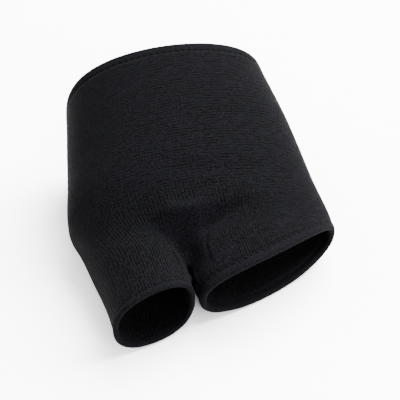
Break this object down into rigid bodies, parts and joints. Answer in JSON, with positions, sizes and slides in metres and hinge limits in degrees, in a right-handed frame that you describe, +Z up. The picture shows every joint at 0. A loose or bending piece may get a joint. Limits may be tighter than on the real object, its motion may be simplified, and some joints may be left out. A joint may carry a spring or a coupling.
{
  "type": "forefoot pad sleeve",
  "caption": "Open knitted forefoot sleeve for a left foot, with a short open stall for the big toe, a wide mouth for the other toes, turned hems and a thicker sole under the ball.",
  "frame": {"origin": "middle of the hollow at the ball of the foot, 17 mm over the outside of the sole, where a foot holds the sleeve", "axes": "+Z up from the sole to the instep, +Y along the foot towards the heel, -Y towards the toes, -X towards the big toe of a left foot"},
  "size_m": [0.0999, 0.1155, 0.0615],
  "materials": {
    "knit": "matte fine stretch knit, charcoal black",
    "hem_knit": "matte smooth knit turned in on itself, charcoal black"
  },
  "bodies": {
    "root": {"sleeve": "knit", "instep_hem": "hem_knit", "toe_hem": "hem_knit", "stall_hem": "hem_knit"}
  },
  "joints": []
}
